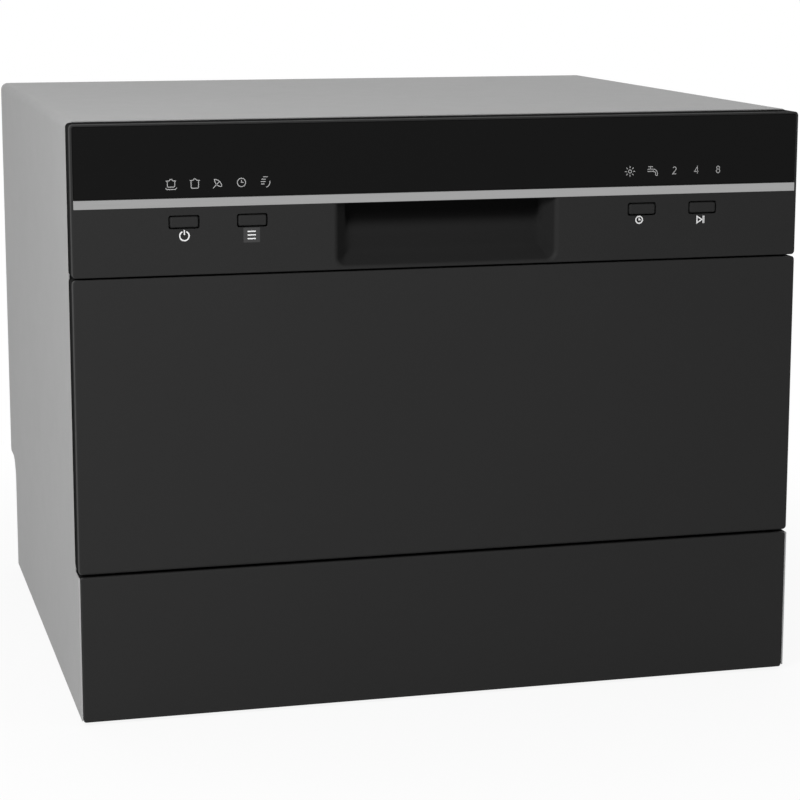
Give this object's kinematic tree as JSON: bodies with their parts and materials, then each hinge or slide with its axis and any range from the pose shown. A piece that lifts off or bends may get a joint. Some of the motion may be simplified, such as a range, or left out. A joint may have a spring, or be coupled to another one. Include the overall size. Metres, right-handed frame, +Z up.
{
  "type": "countertop dishwasher",
  "caption": "Free-standing countertop dishwasher with a drop-down front door, recessed grip, push buttons, sliding dish basket, spray arm and rear hose connections.",
  "frame": {"origin": "centre of the bounding box's underside, on the table under the feet", "axes": "+X to the right seen from in front, +Y to the back, +Z up; the door faces -Y"},
  "size_m": [0.55, 0.5, 0.438],
  "materials": {
    "casing_paint": "satin light grey paint on steel sheet",
    "front_paint": "satin charcoal paint on steel sheet",
    "front_plastic": "satin charcoal moulding",
    "inlay": "glossy near-black",
    "trim": "brushed lengthwise",
    "zinc_steel": "zinc-coated sheet and fasteners",
    "stainless": "stainless sheet, finely brushed",
    "dark_plastic": "dark moulded plastic",
    "grey_plastic": "grey moulded plastic",
    "rinse_blue": "blue moulded plastic",
    "white_plastic": "white moulded plastic",
    "rack_coat": "grey nylon coating on wire",
    "wheel_plastic": "grey moulded plastic",
    "rubber": "matt black rubber",
    "felt": "sound-deadening felt",
    "motor_steel": "grey lacquered motor body",
    "board": "green solder mask"
  },
  "bodies": {
    "root": {"casing": "casing_paint", "rear_panel": "zinc_steel", "rear_screws": "zinc_steel", "base_tray": "dark_plastic", "feet": "rubber", "kick_panel": "front_paint", "front_frame": "dark_plastic", "door_lock": "dark_plastic", "hinge_brackets": "zinc_steel", "door_springs": "zinc_steel", "tub": "stainless", "tub_insulation": "felt", "tub_gasket": "rubber", "sill_seal": "rubber", "basket_rails": "grey_plastic", "spray_pillar": "grey_plastic", "spray_nut": "dark_plastic", "sump": "dark_plastic", "filter_plate": "stainless", "wash_pump": "motor_steel", "flow_heater": "stainless", "drain_pump": "motor_steel", "internal_hoses": "dark_plastic", "softener": "white_plastic", "air_break_tank": "white_plastic", "float_switch": "dark_plastic", "inlet_valve": "white_plastic", "drain_spigot": "grey_plastic", "cord_gland": "dark_plastic", "terminal_box": "dark_plastic"},
    "door": {"door_panel": "front_paint", "control_panel": "front_plastic", "control_glass": "inlay", "trim_strip": "trim", "control_boards": "board", "door_insulation": "felt", "door_liner": "stainless", "liner_screws": "zinc_steel", "door_strike": "zinc_steel", "hinge_arms": "zinc_steel", "dispenser": "grey_plastic"},
    "power_button": {"power_button": "front_plastic"},
    "programme_button": {"programme_button": "front_plastic"},
    "timer_button": {"timer_button": "front_plastic"},
    "start_button": {"start_button": "front_plastic"},
    "dispenser_lid": {"dispenser_lid": "grey_plastic"},
    "rinse_cap": {"rinse_cap": "rinse_blue"},
    "basket": {"basket": "rack_coat", "cutlery_basket": "grey_plastic"},
    "wheel_front_left": {"wheel_front_left": "wheel_plastic"},
    "wheel_front_right": {"wheel_front_right": "wheel_plastic"},
    "wheel_rear_left": {"wheel_rear_left": "wheel_plastic"},
    "wheel_rear_right": {"wheel_rear_right": "wheel_plastic"},
    "cup_shelf": {"cup_shelf": "grey_plastic"},
    "spray_arm": {"spray_arm": "grey_plastic"},
    "filter_cylinder": {"filter_cylinder": "grey_plastic"},
    "wash_rotor": {"wash_rotor": "dark_plastic"},
    "drain_rotor": {"drain_rotor": "dark_plastic"},
    "salt_cap": {"salt_cap": "grey_plastic"},
    "overflow_float": {"overflow_float": "white_plastic"}
  },
  "joints": [
    {"name": "door_hinge", "type": "hinge", "parent": "root", "child": "door", "pos_m": [0, -0.2424, 0.122], "axis": [1, 0, 0], "range_deg": [0, 90], "deforming": ["door_springs"]},
    {"name": "basket_slide", "type": "slide", "parent": "root", "child": "basket", "axis": [0, -1, 0], "range_m": [0, 0.108]},
    {"name": "wheel_roll_front_left", "type": "hinge", "parent": "basket", "child": "wheel_front_left", "pos_m": [-0.2, -0.103, 0.1598], "axis": [1, 0, 0], "range_deg": [0, 690]},
    {"name": "wheel_roll_front_right", "type": "hinge", "parent": "basket", "child": "wheel_front_right", "pos_m": [0.2, -0.103, 0.1598], "axis": [1, 0, 0], "range_deg": [0, 690]},
    {"name": "wheel_roll_rear_left", "type": "hinge", "parent": "basket", "child": "wheel_rear_left", "pos_m": [-0.2, 0.11, 0.1598], "axis": [1, 0, 0], "range_deg": [0, 690]},
    {"name": "wheel_roll_rear_right", "type": "hinge", "parent": "basket", "child": "wheel_rear_right", "pos_m": [0.2, 0.11, 0.1598], "axis": [1, 0, 0], "range_deg": [0, 690]},
    {"name": "cup_shelf_fold", "type": "hinge", "parent": "basket", "child": "cup_shelf", "pos_m": [-0.196, 0, 0.2565], "axis": [0, -1, 0], "range_deg": [0, 85]},
    {"name": "dispenser_lid_slide", "type": "slide", "parent": "door", "child": "dispenser_lid", "axis": [-1, 0, 0], "range_m": [0, 0.061]},
    {"name": "rinse_cap_turn", "type": "hinge", "parent": "door", "child": "rinse_cap", "pos_m": [0.056, -0.2137, 0.282], "axis": [0, 1, 0], "range_deg": [0, 90]},
    {"name": "power_press", "type": "slide", "parent": "door", "child": "power_button", "axis": [0, 1, 0], "range_m": [0, 0.0015], "stiffness_N_per_m": 500, "springref_m": -0.0015},
    {"name": "programme_press", "type": "slide", "parent": "door", "child": "programme_button", "axis": [0, 1, 0], "range_m": [0, 0.0015], "stiffness_N_per_m": 500, "springref_m": -0.0015},
    {"name": "timer_press", "type": "slide", "parent": "door", "child": "timer_button", "axis": [0, 1, 0], "range_m": [0, 0.0015], "stiffness_N_per_m": 500, "springref_m": -0.0015},
    {"name": "start_press", "type": "slide", "parent": "door", "child": "start_button", "axis": [0, 1, 0], "range_m": [0, 0.0015], "stiffness_N_per_m": 500, "springref_m": -0.0015},
    {"name": "spray_arm_spin", "type": "hinge", "parent": "root", "child": "spray_arm", "pos_m": [0, -0.02, 0.154], "axis": [0, 0, 1], "continuous": true},
    {"name": "filter_twist", "type": "hinge", "parent": "root", "child": "filter_cylinder", "pos_m": [0.095, -0.075, 0.12], "axis": [0, 0, 1], "range_deg": [0, 90]},
    {"name": "salt_cap_turn", "type": "hinge", "parent": "root", "child": "salt_cap", "pos_m": [-0.11, -0.075, 0.139], "axis": [0, 0, 1], "range_deg": [0, 270]},
    {"name": "float_lift", "type": "slide", "parent": "root", "child": "overflow_float", "axis": [0, 0, 1], "range_m": [0, 0.008]},
    {"name": "wash_rotor_spin", "type": "hinge", "parent": "root", "child": "wash_rotor", "pos_m": [0.095, 0.06, 0.096], "axis": [0, 1, 0], "continuous": true},
    {"name": "drain_rotor_spin", "type": "hinge", "parent": "root", "child": "drain_rotor", "pos_m": [0.19, -0.075, 0.084], "axis": [1, 0, 0], "continuous": true}
  ],
  "couplings": [
    {"joint": "basket_slide", "follows": "door_hinge", "m_per_rad": 0.0687},
    {"joint": "wheel_roll_front_left", "follows": "door_hinge", "ratio": 7.6333},
    {"joint": "wheel_roll_front_right", "follows": "door_hinge", "ratio": 7.6333},
    {"joint": "wheel_roll_rear_left", "follows": "door_hinge", "ratio": 7.6333},
    {"joint": "wheel_roll_rear_right", "follows": "door_hinge", "ratio": 7.6333}
  ]
}
